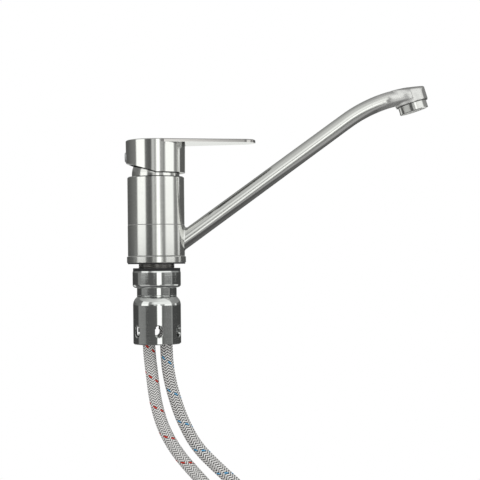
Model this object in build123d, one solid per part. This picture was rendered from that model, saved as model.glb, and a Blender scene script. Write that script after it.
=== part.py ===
from build123d import *
import math
import os

os.makedirs("parts", exist_ok=True)

# A single-lever sink mixer with a swivelling angled spout and two braided tails.
# Millimetres. The origin is on the deck top, on the axis of the body. Z is up, X runs towards the spout.

# Fits
running_clearance = 0.05
thread_clearance = 0.05
seat_clearance = 0.1
loose_clearance = 0.3

# Tails and ferrules
hose_radius = 5.5
ferrule_wall = 1.1
ferrule_gap = 2.3
ferrule_length = 18.0
ferrule_below_shank = 2.0
crimp_count = 3
crimp_width = 1.6
crimp_depth = 0.4
tail_collar_gap = 3.7
tail_collar_height = 6.0
tail_flat_depth = 0.9
tail_thread_radius = 5.0
tail_thread_depth = 11.0
tail_stem_step = 0.4
tail_nose_step = 0.9
tail_nose_height = 3.0
tail_seal_section = 0.8
port_shoulder = 0.1

# Shank and deck
deck_thickness = 3.6
shank_gap = 0.75
shank_wall = 1.6
shank_in_body = 10.0
shank_below_deck = 38.0
shank_slot_width = 5.0
shank_slot_depth = 4.0

# Base
base_gasket_height = 1.0
base_gasket_inset = 0.8
base_gasket_gap = 1.0
base_ring_height = 5.8
base_ring_overhang = 1.0
base_ring_edge = 0.4
slip_ring_height = 0.6
slip_ring_inset = 0.2

# Clamping cup and nut
deck_gasket_height = 2.6
deck_gasket_inset = 0.5
cup_gap = 0.6
cup_taper = 0.3
cup_height = 15.0
cup_wall = 1.3
cup_lip = 0.4
nut_wall = 1.7
nut_flange_step = 1.9
nut_flange_height = 3.0
nut_neck_height = 21.5
nut_bead_height = 0.7
nut_shoulder_step = 3.6
nut_shoulder_height = 7.5
nut_shoulder_shares = (0.69, 0.39)
nut_skirt_wall = 2.0
nut_skirt_relief = 1.0
nut_length = 63.5
nut_edge = 0.8
slot_count = 6
slot_width = 6.8
slot_height = 10.4
slot_above_end = 11.7
slot_edge = 0.6
slot_overrun = 2.0
first_slot_angle = -82.0

# Body
body_wall = 7.8
body_height = 42.3
body_edge = 0.8
neck_wall = 3.5
mixed_port_radius = 3.2
side_port_radius = 2.8

# Cartridge
cartridge_radius = 17.5
cartridge_base_height = 4.4
cartridge_seal_height = 1.2
cartridge_seal_wall = 1.3
drum_depth = 5.3
drum_height = 29.0
drum_wall = 2.1
drum_roof = 2.0
disc_thickness = 4.6
disc_margin = 2.0
disc_travel_gap = 0.665
disc_recess_insets = (2.5, 5.0)
disc_recess_offset = 2.0
carrier_floor = 2.45
carrier_gap = 0.7
collar_step = 3.5
collar_wall = 1.0
collar_height = 11.2
spindle_flange_height = 3.6
spindle_slot_length = 15.0
retaining_step = 1.0
retaining_thread_height = 7.0
retaining_hex_step = 2.5
retaining_hex_height = 3.6

# Lever motion and stem
pivot_rise = 8.0
lever_lift = 22.0
stem_size = 8.0
stem_headroom = 1.6
stem_heel = 5.0
stem_edge = 0.6
stem_arm_radius = 2.0
stem_ball_radius = 2.6
stem_pin_radius = 1.5
stem_pin_inset = 1.0

# Dome cap
cap_gap = 2.25
cap_wall = 1.4
cap_skirt = 1.7
cap_height = 12.2
cap_hole_gap = 0.6

# Lever handle
head_gap = 3.5
head_overhang = 0.9
head_taper = 0.3
head_height = 28.8
head_wall = 2.7
head_roof = 4.0
relief_start = 2.0
relief_angle = 17.0
socket_wall = 2.2
socket_lead = 1.0
boss_start = 12.0
blade_thickness = 2.9
blade_reach = 89.1
blade_tip_radius = 12.0
blade_root_inset = 0.4
blade_edge = 0.7
plug_radius = 4.4
plug_margin = 1.3
plug_stand = 1.1
plug_depth = 1.0
plug_edge = 0.7
grub_radius = 2.5
grub_length = 5.0
grub_point_radius = 1.4
grub_point_length = 1.6

# Spout
sleeve_stand = 0.1
sleeve_height = 26.9
sleeve_land = 7.0
channel_depth = 2.8
channel_slope = 1.0
seal_section = 0.92
seal_groove_width = 2.4
spout_angle = 35.7
spout_radius = 7.2
spout_wall = 1.2
spout_root_step = 0.4
spout_root_lead = 0.7
spout_bend_radius = 125.0
spout_bend_run = 58.7
spigot_reach = 10.9
spigot_fillet = 1.7

# Outlet casting
outlet_reach = 229.0
outlet_drop = 8.1
outlet_tilt = 17.0
outlet_wall = 1.85
outlet_roof_radius = 260.0
outlet_roof_lead = 10.6
outlet_roof_crown = 26.0
outlet_roof_wall = 0.3
outlet_roof_slope = 6.3
outlet_edge = 1.2
casting_run = 33.4
flare_middle_run = 14.0
flare_end_run = 1.0
flare_middle_share = 0.7
flare_inset = 0.15
flare_flatness = 0.2
chamber_inset = 0.5
chamber_rise = 2.0

# Aerator
aerator_thread_radius = 12.0
aerator_thread_depth = 7.6
aerator_ring_step = 0.8
aerator_stand = 6.8
aerator_edge = 0.5
aerator_wall = 1.6
aerator_lip = 1.0
aerator_lip_height = 1.2
aerator_notch_width = 4.0
aerator_notch_height = 1.8
aerator_washer_width = 2.9
aerator_washer_height = 1.4
insert_height = 5.0
insert_hole_radius = 1.1
insert_hole_pitch = 3.3
insert_ring_holes = 6
screen_height = 0.6

# Free ends of the hoses
end_ferrule_length = 17.0
nipple_step = 0.5
nipple_wall = 1.0
nipple_neck = 3.0
nipple_flange_height = 1.8
hose_washer_height = 2.0
union_thread_radius = 7.7
union_thread_depth = 8.6
union_relief_step = 0.4
union_wall = 2.8
union_collar_step = 0.9
union_collar_height = 3.0
union_shelf = 4.0

# Routes of the hoses, from the lower end of each ferrule
hot_route = [
    (0.0, 0.0, 0.0),
    (0.0, 0.0, -17.0),
    (2.65, -0.6, -39.5),
    (5.45, -1.6, -64.0),
    (12.25, -2.0, -88.5),
    (24.95, -1.0, -111.0),
    (43.05, 0.8, -132.3),
    (61.75, 2.6, -153.0),
    (77.25, 3.4, -177.0),
    (88.2, 2.6, -201.0),
    (94.9, 0.8, -226.0),
    (97.4, 0.0, -249.0),
    (97.4, 0.0, -268.3),
]
cold_route = [
    (0.0, 0.0, 0.0),
    (0.0, 0.0, -17.0),
    (1.65, 0.5, -40.0),
    (7.45, 1.6, -63.5),
    (14.85, 3.0, -84.5),
    (26.45, 3.8, -106.2),
    (46.25, 3.4, -126.0),
    (67.25, 2.2, -145.0),
    (86.25, 0.6, -165.0),
    (100.9, -0.6, -188.0),
    (110.6, -0.8, -212.0),
    (115.2, 0.0, -236.0),
    (115.2, 0.0, -258.2),
]

# Radii that follow from the sizes above
ferrule_radius = hose_radius + ferrule_wall
port_spacing = 2 * ferrule_radius + ferrule_gap
port_places = (-port_spacing / 2, port_spacing / 2)
tail_collar_radius = (port_spacing - tail_collar_gap) / 2
tail_stem_radius = tail_thread_radius - tail_stem_step
tail_nose_radius = tail_thread_radius - tail_nose_step
port_radius = tail_nose_radius - port_shoulder
shank_bore = port_spacing / 2 + tail_collar_radius + shank_gap
shank_radius = shank_bore + shank_wall
neck_radius = shank_radius + neck_wall
neck_bore = neck_radius + running_clearance
nut_neck_radius = shank_radius + nut_wall
nut_flange_radius = nut_neck_radius + nut_flange_step
nut_barrel_radius = nut_neck_radius + nut_shoulder_step
nut_skirt_bore = nut_barrel_radius - nut_skirt_wall
cup_radius = nut_flange_radius + cup_gap + cup_wall
body_radius = cartridge_radius + body_wall
base_ring_radius = body_radius + base_ring_overhang
sleeve_radius = body_radius + sleeve_stand
sleeve_channel_radius = neck_radius + channel_depth
drum_bore = cartridge_radius - drum_wall
fixed_disc_radius = drum_bore - 2 * seat_clearance
mixed_port_offset = fixed_disc_radius - mixed_port_radius - disc_margin
collar_radius = cartridge_radius - collar_step
collar_bore = collar_radius - collar_wall
retaining_thread_radius = cartridge_radius + retaining_step
head_bottom_radius = body_radius + head_overhang
head_top_radius = head_bottom_radius + head_taper
head_cavity_radius = head_bottom_radius - head_wall
cap_radius = head_cavity_radius - cap_gap
cap_hole = collar_radius + cap_hole_gap
spout_bore = spout_radius - spout_wall
spout_root_radius = spout_radius + spout_root_step
aerator_ring_radius = aerator_thread_radius + aerator_ring_step
aerator_bore = aerator_thread_radius - aerator_wall
outlet_radius = aerator_ring_radius + outlet_wall

# Heights that follow from the sizes above
base_ring_top = base_gasket_height + base_ring_height
sleeve_bottom = base_ring_top + slip_ring_height + running_clearance
sleeve_top = sleeve_bottom + sleeve_height
channel_height = (sleeve_bottom + sleeve_top) / 2
body_bottom = sleeve_top + running_clearance + slip_ring_height
body_top = body_bottom + body_height
shank_top = base_gasket_height + shank_in_body
ferrule_top = -shank_below_deck - ferrule_below_shank
hose_top = ferrule_top - ferrule_length
deck_gasket_bottom = -deck_thickness - deck_gasket_height
nut_top = deck_gasket_bottom - cup_wall
nut_bottom = nut_top - nut_length
drum_top = body_top - drum_depth
cartridge_floor = drum_top - drum_height
base_top = cartridge_floor + cartridge_base_height
moving_disc_bottom = base_top + disc_thickness + running_clearance
moving_disc_top = moving_disc_bottom + disc_thickness
collar_top = drum_top + collar_height
spindle_bottom = drum_top - drum_roof - running_clearance - spindle_flange_height
carrier_top = spindle_bottom - carrier_gap
pocket_floor = moving_disc_top + carrier_floor
lever_pivot = drum_top + pivot_rise
cap_bottom = body_top + running_clearance
cap_centre = cap_bottom + cap_skirt
cap_top = cap_bottom + cap_height
head_bottom = body_top + head_gap
head_top = head_bottom + head_height
cavity_top = head_top - head_roof
relief_rise = (head_bottom_radius + relief_start) * math.tan(math.radians(relief_angle))
plug_height = head_bottom + relief_rise + plug_radius + plug_margin

# The stem leans by half the lift at rest, and its ball then stands this far behind the axis
stem_lean = lever_lift / 2
stem_arm = lever_pivot - pocket_floor - loose_clearance - stem_ball_radius
stem_top = cavity_top - stem_headroom - lever_pivot
ball_offset = stem_arm * math.sin(math.radians(stem_lean))
moving_disc_radius = drum_bore - ball_offset - disc_travel_gap


def upright(radius, low, high, x=0.0, y=0.0):
    """A solid cylinder about a vertical axis, between two heights."""
    solid = Cylinder(radius, high - low, align=(Align.CENTER, Align.CENTER, Align.MIN))
    return Pos(x, y, low) * solid


def ring(radius, bore, low, high):
    """A plain ring about the body's axis."""
    return upright(radius, low, high) - upright(bore, low, high)


def turned(*outline):
    """A solid turned about the body's axis, from corners given as radius and height."""
    corners = [(radius, 0, height) for radius, height in outline]
    return revolve(make_face(Polyline(*corners, close=True)), Axis.Z)


def turned_arc(centre, radius, first, last):
    """An arc of a turned outline about a centre given as radius and height, between two angles."""
    points = []
    for angle in (first, (first + last) / 2, last):
        turn = math.radians(angle)
        points.append((centre[0] + radius * math.cos(turn), 0, centre[1] + radius * math.sin(turn)))
    return ThreePointArc(*points)


def hexagon(flats, low, high, x=0.0, y=0.0):
    """An upright hexagonal bar, flats facing X."""
    side = RegularPolygon(flats / 2, 6, major_radius=False, rotation=30)
    return Pos(x, y, low) * extrude(side, high - low)


def round_seal(groove_radius, height, x=0.0, y=0.0, section=seal_section):
    """An O-ring that lies against the bottom of a groove."""
    return Pos(x, y, height) * Torus(groove_radius + section, section)


def save(node, solid):
    solid.label = node
    export_step(solid, f"parts/{node}.step")


# Base and slip rings
def base_gasket():
    radius = base_ring_radius - base_gasket_inset
    return ring(radius, shank_radius + base_gasket_gap, 0, base_gasket_height)


def base_ring():
    bore = neck_radius + thread_clearance
    solid = ring(base_ring_radius, bore, base_gasket_height, base_ring_top)
    rims = solid.edges().filter_by(GeomType.CIRCLE).sort_by(SortBy.RADIUS)[-2:]
    return chamfer(rims, base_ring_edge)


def slip_ring(low):
    return ring(body_radius - slip_ring_inset, neck_bore + seat_clearance, low, low + slip_ring_height)


# Body: an upper barrel that holds the cartridge, on a neck that carries the spout
seal_heights = (sleeve_bottom + sleeve_land / 2, sleeve_top - sleeve_land / 2)
seal_groove_floor = neck_bore - seat_clearance - 2 * seal_section


def main_body():
    bore = cartridge_radius + seat_clearance
    thread_bore = retaining_thread_radius + thread_clearance
    rim = body_top + cap_skirt - seat_clearance
    cap_seat = cap_radius - cap_wall - seat_clearance
    thread_floor = drum_top - loose_clearance
    socket = shank_radius + thread_clearance
    beyond_neck = neck_radius + seal_section
    solid = turned(
        (0, shank_top),
        (socket, shank_top),
        (socket, base_gasket_height),
        (neck_radius, base_gasket_height),
        (neck_radius, body_bottom),
        (body_radius, body_bottom),
        (body_radius, body_top - body_edge),
        (body_radius - body_edge, body_top),
        (cap_seat, body_top),
        (cap_seat, rim),
        (thread_bore, rim),
        (thread_bore, thread_floor),
        (bore, thread_floor),
        (bore, cartridge_floor),
        (0, cartridge_floor),
    )
    cuts = []
    for height in seal_heights:
        low = height - seal_groove_width / 2
        cuts.append(ring(beyond_neck, seal_groove_floor, low, low + seal_groove_width))
    thread_top = shank_top + tail_thread_depth
    nose_top = thread_top + tail_nose_height + loose_clearance
    for x in port_places:
        cuts.append(upright(port_radius, shank_top, cartridge_floor, x))
        cuts.append(upright(tail_thread_radius, shank_top, thread_top, x))
        cuts.append(upright(tail_nose_radius + seat_clearance, shank_top, nose_top, x))
    cuts.append(upright(mixed_port_radius, channel_height, cartridge_floor, 0, mixed_port_offset))
    side_port = upright(side_port_radius, mixed_port_offset, beyond_neck)
    cuts.append(Pos(0, 0, channel_height) * Rot(-90, 0, 0) * side_port)
    return solid - cuts


def spout_seals():
    return Compound(children=[round_seal(seal_groove_floor, height) for height in seal_heights])


# Shank and clamping parts under the deck
def threaded_shank():
    bottom = -shank_below_deck
    slot = Box(3 * shank_radius, shank_slot_width, 2 * shank_slot_depth)
    return ring(shank_radius, shank_bore, bottom, shank_top) - Pos(0, 0, bottom) * slot


def under_deck_gasket():
    bore = shank_radius + loose_clearance
    return ring(cup_radius - deck_gasket_inset, bore, deck_gasket_bottom, -deck_thickness)


def clamp_cup():
    """A pressed cup whose lower edge is rolled in under the nut's flange."""
    bore = shank_radius + loose_clearance
    mouth = nut_neck_radius + loose_clearance
    top = deck_gasket_bottom
    step = top - cup_wall
    inner = cup_radius - cup_wall
    top_radius = cup_radius - cup_taper
    roll = cup_radius - mouth - cup_lip
    roll_x = cup_radius - roll
    bottom = top - cup_height
    roll_z = bottom + roll
    outline = [
        Polyline((inner, 0, roll_z), (inner, 0, step), (bore, 0, step), (bore, 0, top), (top_radius, 0, top)),
        Polyline((top_radius, 0, top), (cup_radius, 0, step), (cup_radius, 0, roll_z)),
        turned_arc((roll_x, roll_z), roll, 0, -90),
        Polyline(
            (roll_x, 0, bottom),
            (mouth, 0, bottom),
            (mouth, 0, bottom + cup_wall),
            (roll_x, 0, bottom + cup_wall),
        ),
        turned_arc((roll_x, roll_z), roll - cup_wall, -90, 0),
    ]
    return revolve(make_face(outline), Axis.Z)


def obround_cutter(angle):
    """A slot across the wall of the nut's barrel, with its edge broken on the outside."""
    start = nut_skirt_bore - slot_overrun
    depth = nut_barrel_radius + slot_overrun - start
    place = Rot(0, 0, angle) * Pos(start, 0, nut_bottom + slot_above_end)
    cutter = extrude(Plane.YZ * SlotOverall(slot_height, slot_width, rotation=90), depth)
    flare_start = nut_barrel_radius - slot_edge - start
    flare_length = 2 * slot_edge
    widening = 2 * flare_length
    narrow = SlotOverall(slot_height, slot_width, rotation=90)
    wide = SlotOverall(slot_height + widening, slot_width + widening, rotation=90)
    sections = [
        Plane.YZ.offset(flare_start) * narrow,
        Plane.YZ.offset(flare_start + flare_length) * wide,
    ]
    return place * (cutter + loft(sections))


def barrel_nut():
    """A nut with a flange inside the cup, a slim neck and a barrel pierced for a tommy bar."""
    bore = shank_radius + thread_clearance
    neck_top = nut_top - nut_flange_height
    neck_end = nut_top - nut_neck_height
    shoulder_end = neck_end - nut_shoulder_height
    thread_end = -shank_below_deck - nut_skirt_relief
    bead = nut_neck_radius + nut_bead_height / 2
    bead_low = neck_end + nut_bead_height
    across, down = nut_shoulder_shares
    outline = [
        Polyline(
            (bore, 0, nut_top),
            (nut_flange_radius, 0, nut_top),
            (nut_flange_radius, 0, neck_top),
            (nut_neck_radius, 0, neck_top),
            (nut_neck_radius, 0, bead_low + nut_bead_height),
            (bead, 0, bead_low + nut_bead_height / 2),
            (nut_neck_radius, 0, bead_low),
            (nut_neck_radius, 0, neck_end),
        ),
        ThreePointArc(
            (nut_neck_radius, 0, neck_end),
            (nut_neck_radius + across * nut_shoulder_step, 0, neck_end - down * nut_shoulder_height),
            (nut_barrel_radius, 0, shoulder_end),
        ),
        Polyline(
            (nut_barrel_radius, 0, shoulder_end),
            (nut_barrel_radius, 0, nut_bottom + nut_edge),
            (nut_barrel_radius - nut_edge, 0, nut_bottom),
            (nut_skirt_bore, 0, nut_bottom),
            (nut_skirt_bore, 0, thread_end),
            (bore, 0, thread_end),
            (bore, 0, nut_top),
        ),
    ]
    solid = revolve(make_face(outline), Axis.Z)
    pitch = 360 / slot_count
    return solid - [obround_cutter(first_slot_angle + pitch * i) for i in range(slot_count)]


# Cartridge
def port_holes(low, high):
    holes = [upright(port_radius, low, high, x) for x in port_places]
    holes.append(upright(mixed_port_radius, low, high, 0, mixed_port_offset))
    return holes


def seal_recesses(gap):
    """The rings round the three ports on the cartridge's foot, each as the solid that its seal fills."""
    top = cartridge_floor + cartridge_seal_height
    rings = []
    for x in port_places:
        rings.append(upright(port_radius + cartridge_seal_wall - gap, cartridge_floor, top, x))
    mixed = mixed_port_radius + cartridge_seal_wall - gap
    rings.append(upright(mixed, cartridge_floor, top, 0, mixed_port_offset))
    return rings


def cartridge_base():
    solid = upright(cartridge_radius, cartridge_floor, base_top)
    return solid - port_holes(cartridge_floor, base_top) - seal_recesses(0)


def cartridge_seals():
    holes = port_holes(cartridge_floor, base_top)
    seals = [seal - hole for seal, hole in zip(seal_recesses(running_clearance), holes)]
    return Compound(children=seals)


def cartridge_housing():
    roof = drum_top - drum_roof
    return turned(
        (drum_bore, base_top),
        (cartridge_radius, base_top),
        (cartridge_radius, drum_top),
        (collar_radius, drum_top),
        (collar_radius, collar_top),
        (collar_bore, collar_top),
        (collar_bore, roof),
        (drum_bore, roof),
    )


def fixed_ceramic_disc():
    top = base_top + disc_thickness
    return upright(fixed_disc_radius, base_top, top) - port_holes(base_top, top)


def moving_ceramic_disc():
    """The disc rests towards the back and slides forward as the lever is lifted."""
    long_inset, short_inset = disc_recess_insets
    recess = Ellipse(moving_disc_radius - long_inset, moving_disc_radius - short_inset)
    recess = Pos(-ball_offset, disc_recess_offset, moving_disc_bottom) * extrude(recess, disc_thickness / 2)
    return upright(moving_disc_radius, moving_disc_bottom, moving_disc_top, -ball_offset) - recess


def disc_carrier():
    pocket = stem_ball_radius + 2 * loose_clearance
    solid = upright(moving_disc_radius, moving_disc_top, carrier_top, -ball_offset)
    return solid - upright(pocket, pocket_floor, carrier_top, -ball_offset)


def spindle_carrier():
    flange = drum_bore - loose_clearance
    barrel = collar_bore - running_clearance
    flange_top = spindle_bottom + spindle_flange_height
    solid = upright(flange, spindle_bottom, flange_top) + upright(barrel, flange_top, collar_top)
    slot_width = stem_size + 2 * loose_clearance
    slot = Box(spindle_slot_length, slot_width, 3 * collar_top)
    hole = Rot(90, 0, 0) * Cylinder(stem_pin_radius + running_clearance, 4 * collar_radius)
    return solid - slot - Pos(0, 0, lever_pivot) * hole


def stem_pin():
    length = 2 * (collar_bore - stem_pin_inset)
    return Pos(0, 0, lever_pivot) * Rot(90, 0, 0) * Cylinder(stem_pin_radius, length)


def along_stem(solid):
    """Turns a solid that is built upright on the pivot onto the leaning axis of the stem."""
    return Pos(0, 0, lever_pivot) * Rot(0, stem_lean, 0) * solid


def cartridge_stem():
    square = Pos(0, 0, -stem_heel) * extrude(Rectangle(stem_size, stem_size), stem_heel + stem_top)
    square = chamfer(square.edges().group_by(Axis.Z)[-1], stem_edge)
    arm = upright(stem_arm_radius, -stem_arm, -stem_heel)
    ball = Pos(0, 0, -stem_arm) * Sphere(stem_ball_radius)
    hole = Rot(90, 0, 0) * Cylinder(stem_pin_radius + running_clearance, 2 * stem_size)
    return along_stem(square + arm + ball - hole)


def retaining_nut():
    thread_top = drum_top + retaining_thread_height
    hex_top = thread_top + retaining_hex_height
    flats = 2 * (retaining_thread_radius - retaining_hex_step)
    solid = upright(retaining_thread_radius, drum_top, thread_top)
    solid = solid + hexagon(flats, thread_top, hex_top)
    return solid - upright(collar_radius + seat_clearance, drum_top, hex_top)


def dome_cap():
    """A turned shroud that covers the retaining nut and closes the gap under the lever."""
    inner = cap_radius - cap_wall
    rise = cap_top - cap_centre
    ceiling = rise - cap_wall
    outer_flat = math.sqrt(cap_radius**2 - rise**2)
    inner_flat = math.sqrt(inner**2 - ceiling**2)
    outer_middle = math.sqrt(cap_radius**2 - (rise / 2) ** 2)
    inner_middle = math.sqrt(inner**2 - (ceiling / 2) ** 2)
    outline = [
        Line((inner, 0, cap_bottom), (cap_radius, 0, cap_bottom)),
        Line((cap_radius, 0, cap_bottom), (cap_radius, 0, cap_centre)),
        ThreePointArc(
            (cap_radius, 0, cap_centre),
            (outer_middle, 0, cap_centre + rise / 2),
            (outer_flat, 0, cap_top),
        ),
        Polyline(
            (outer_flat, 0, cap_top),
            (cap_hole, 0, cap_top),
            (cap_hole, 0, cap_top - cap_wall),
            (inner_flat, 0, cap_top - cap_wall),
        ),
        ThreePointArc(
            (inner_flat, 0, cap_top - cap_wall),
            (inner_middle, 0, cap_centre + ceiling / 2),
            (inner, 0, cap_centre),
        ),
        Line((inner, 0, cap_centre), (inner, 0, cap_bottom)),
    ]
    return revolve(make_face(outline), Axis.Z)


# Lever
def blade():
    """A flat paddle: two straight sides that run from the head to a round tip."""
    root = head_top_radius - blade_root_inset
    tip_centre = blade_reach - blade_tip_radius
    lean = math.asin((root - blade_tip_radius) / tip_centre)
    root_x = root * math.sin(lean)
    root_y = root * math.cos(lean)
    tip_x = tip_centre + blade_tip_radius * math.sin(lean)
    tip_y = blade_tip_radius * math.cos(lean)
    outline = [
        Line((tip_x, -tip_y), (root_x, -root_y)),
        Polyline((root_x, -root_y), (0, -root_y), (0, root_y), (root_x, root_y)),
        Line((root_x, root_y), (tip_x, tip_y)),
        ThreePointArc((tip_x, tip_y), (blade_reach, 0), (tip_x, -tip_y)),
    ]
    return Pos(0, 0, head_top - blade_thickness) * extrude(make_face(outline), blade_thickness)


def rear_relief():
    """The wedge under the back of the head that lets the lever rock over the body."""
    back = -2 * head_top_radius
    rise = (relief_start - back) * math.tan(math.radians(relief_angle))
    outline = Polyline(
        (relief_start, 0, head_bottom),
        (back, 0, head_bottom),
        (back, 0, head_bottom + rise),
        close=True,
    )
    return extrude(make_face(outline), 2 * head_top_radius, both=True)


def lever_handle():
    head = turned(
        (0, head_bottom),
        (head_bottom_radius, head_bottom),
        (head_top_radius, head_top),
        (0, head_top),
    )
    shell = head - upright(head_cavity_radius, head_bottom, cavity_top)
    socket_size = stem_size + 2 * seat_clearance
    boss_radius = socket_size / math.sqrt(2) + socket_wall
    boss = along_stem(upright(boss_radius, boss_start, 2 * stem_top))
    boss = boss & upright(head_cavity_radius, head_bottom, cavity_top + head_roof / 2)
    socket_bottom = boss_start - socket_lead
    socket_depth = stem_top + loose_clearance - socket_bottom
    socket = Pos(0, 0, socket_bottom) * extrude(Rectangle(socket_size, socket_size), socket_depth)
    turn = Pos(0, 0, plug_height) * Rot(0, -90, 0)
    beyond_head = 2 * head_top_radius
    plug_hole = turn * upright(plug_radius + running_clearance, boss_radius + socket_wall, beyond_head)
    grub_hole = turn * upright(grub_radius + thread_clearance, 0, 2 * boss_radius)
    solid = shell + boss + blade() - along_stem(socket) - rear_relief() - plug_hole - grub_hole
    return chamfer(solid.edges().group_by(Axis.Z)[-1], blade_edge)


def grub_screw():
    """A hexagon-socket screw that bears on the back of the stem."""
    lean = math.radians(stem_lean)
    stem_face = (plug_height - lever_pivot) * math.tan(lean) - stem_size / 2 / math.cos(lean)
    tip = grub_point_radius * math.tan(lean) + seat_clearance - stem_face
    shoulder = tip + grub_point_length
    head = shoulder + grub_length
    solid = upright(grub_point_radius, tip, shoulder) + upright(grub_radius, shoulder, head)
    solid = solid - hexagon(grub_radius, head - grub_radius, head)
    return Pos(0, 0, plug_height) * Rot(0, -90, 0) * solid


def indicator_plug():
    solid = upright(plug_radius, head_cavity_radius - plug_depth, head_bottom_radius + plug_stand)
    solid = fillet(solid.edges().group_by(Axis.Z)[-1], plug_edge)
    return Pos(0, 0, plug_height) * Rot(0, -90, 0) * solid


# Spout: a straight centreline that leaves the middle of the sleeve, then one bend down to the outlet
spout_slope = math.radians(spout_angle)
bend_start = outlet_reach - spout_bend_run
casting_start = outlet_reach - casting_run
spigot_end = sleeve_radius + spigot_reach


def straight_point(x):
    run = x - sleeve_radius + spout_root_lead
    return (x, 0, channel_height + run * math.tan(spout_slope))


bend_centre_x = bend_start + spout_bend_radius * math.sin(spout_slope)
bend_centre_z = straight_point(bend_start)[2] - spout_bend_radius * math.cos(spout_slope)


def bend_angle(x):
    """The slope of the centreline above level, in radians, at a place in the bend."""
    return math.asin((bend_centre_x - x) / spout_bend_radius)


def bend_point(x):
    return (x, 0, bend_centre_z + spout_bend_radius * math.cos(bend_angle(x)))


def bend_plane(x):
    """A plane across the bend, its own X across the spout and its own Y upwards."""
    slope = bend_angle(x)
    return Plane(origin=bend_point(x), x_dir=(0, -1, 0), z_dir=(math.cos(slope), 0, math.sin(slope)))


def bend_path(first, last):
    return ThreePointArc(bend_point(first), bend_point((first + last) / 2), bend_point(last))


def straight_plane(x):
    return Plane(origin=straight_point(x), z_dir=(math.cos(spout_slope), 0, math.sin(spout_slope)))


def straight_rod(radius, first, last):
    length = (last - first) / math.cos(spout_slope)
    return extrude(straight_plane(first) * Circle(radius), length)


def spout_sleeve():
    low_land = sleeve_bottom + sleeve_land
    high_land = sleeve_top - sleeve_land
    wall = turned(
        (neck_bore, sleeve_bottom),
        (sleeve_radius, sleeve_bottom),
        (sleeve_radius, sleeve_top),
        (neck_bore, sleeve_top),
        (neck_bore, high_land),
        (sleeve_channel_radius, high_land - channel_slope),
        (sleeve_channel_radius, low_land + channel_slope),
        (neck_bore, low_land),
    )
    middle_radius = (sleeve_channel_radius + sleeve_radius) / 2
    inside = upright(middle_radius, sleeve_bottom, sleeve_top + spout_root_radius)
    solid = wall + (straight_rod(spout_root_radius, neck_radius, spigot_end) - inside)
    joint = [
        edge
        for edge in solid.edges()
        if edge.geom_type != GeomType.CIRCLE
        and edge.geom_type != GeomType.LINE
        and edge.center().X > sleeve_channel_radius
    ]
    solid = fillet(joint, spigot_fillet)
    return solid - straight_rod(spout_bore, neck_radius / 2, spigot_end + spout_wall)


def spout_tube():
    """A straight run that tapers a little towards the bend, and the bend itself."""
    length = (bend_start - spigot_end) / math.cos(spout_slope)
    cone = Cone(spout_root_radius, spout_radius, length, align=(Align.CENTER, Align.CENTER, Align.MIN))
    straight = straight_plane(spigot_end).location * cone - straight_rod(spout_bore, spigot_end, bend_start)
    wall = straight_plane(bend_start) * (Circle(spout_radius) - Circle(spout_bore))
    return straight + sweep(wall, bend_path(bend_start, casting_start))


outlet_lean = math.radians(outlet_tilt)
outlet_centre_height = bend_point(outlet_reach)[2]
outlet_plane = Plane(
    origin=(outlet_reach, 0, outlet_centre_height - outlet_drop),
    x_dir=(math.cos(outlet_lean), 0, math.sin(outlet_lean)),
    z_dir=(-math.sin(outlet_lean), 0, math.cos(outlet_lean)),
)


def at_outlet(solid):
    """Moves a solid from the outlet's own frame, whose Z is up the aerator's axis."""
    return outlet_plane.location * solid


def outlet_boss():
    """A round outlet under a crowned roof, flared from the spout's tube."""
    slope = math.radians(outlet_roof_slope)
    roof_x = outlet_reach + outlet_roof_lead + outlet_roof_radius * math.sin(slope)
    roof_front = outlet_centre_height + spout_radius + outlet_roof_wall
    roof_z = roof_front - outlet_roof_radius * math.cos(slope)
    roof = Torus(outlet_roof_radius - outlet_roof_crown, outlet_roof_crown)
    roof = Pos(roof_x, 0, roof_z) * Rot(90, 0, 0) * roof
    drum = at_outlet(upright(outlet_radius, 0, 2 * outlet_radius)) & roof
    drum = fillet(drum.faces().sort_by(Axis.Z)[-1].edges(), outlet_edge)
    end_width = outlet_radius - flare_inset
    middle_width = spout_radius + flare_middle_share * (end_width - spout_radius)
    flare = loft(
        [
            bend_plane(casting_start) * Circle(spout_radius),
            bend_plane(outlet_reach - flare_middle_run) * Ellipse(middle_width, spout_radius),
            bend_plane(outlet_reach - flare_end_run) * Ellipse(end_width, spout_radius - flare_flatness),
        ]
    )
    waterway = sweep(bend_plane(casting_start) * Circle(spout_bore), bend_path(casting_start, outlet_reach))
    thread_end = aerator_thread_depth + aerator_washer_height
    thread = at_outlet(upright(aerator_thread_radius, 0, thread_end))
    chamber_radius = aerator_thread_radius - aerator_washer_width - chamber_inset
    chamber = at_outlet(upright(chamber_radius, 0, thread_end + chamber_rise))
    return drum + flare - waterway - thread - chamber


# Aerator
aerator_bottom = -aerator_stand
insert_bottom = aerator_bottom + aerator_lip_height
insert_top = insert_bottom + insert_height


def aerator_housing():
    """A screw-in ring with an inward lip and two notches for its key."""
    thread = aerator_thread_radius - thread_clearance
    lip_bore = aerator_bore - aerator_lip
    solid = turned(
        (lip_bore, aerator_bottom),
        (aerator_ring_radius - aerator_edge, aerator_bottom),
        (aerator_ring_radius, aerator_bottom + aerator_edge),
        (aerator_ring_radius, -running_clearance),
        (thread, -running_clearance),
        (thread, aerator_thread_depth),
        (aerator_bore, aerator_thread_depth),
        (aerator_bore, insert_bottom),
        (lip_bore, insert_bottom),
    )
    notch = Box(4 * aerator_ring_radius, aerator_notch_width, 2 * aerator_notch_height)
    return at_outlet(solid - Pos(0, 0, aerator_bottom) * notch)


def aerator_washer():
    outer = aerator_thread_radius - seat_clearance
    low = aerator_thread_depth
    return at_outlet(ring(outer, outer - aerator_washer_width, low, low + aerator_washer_height))


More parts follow.
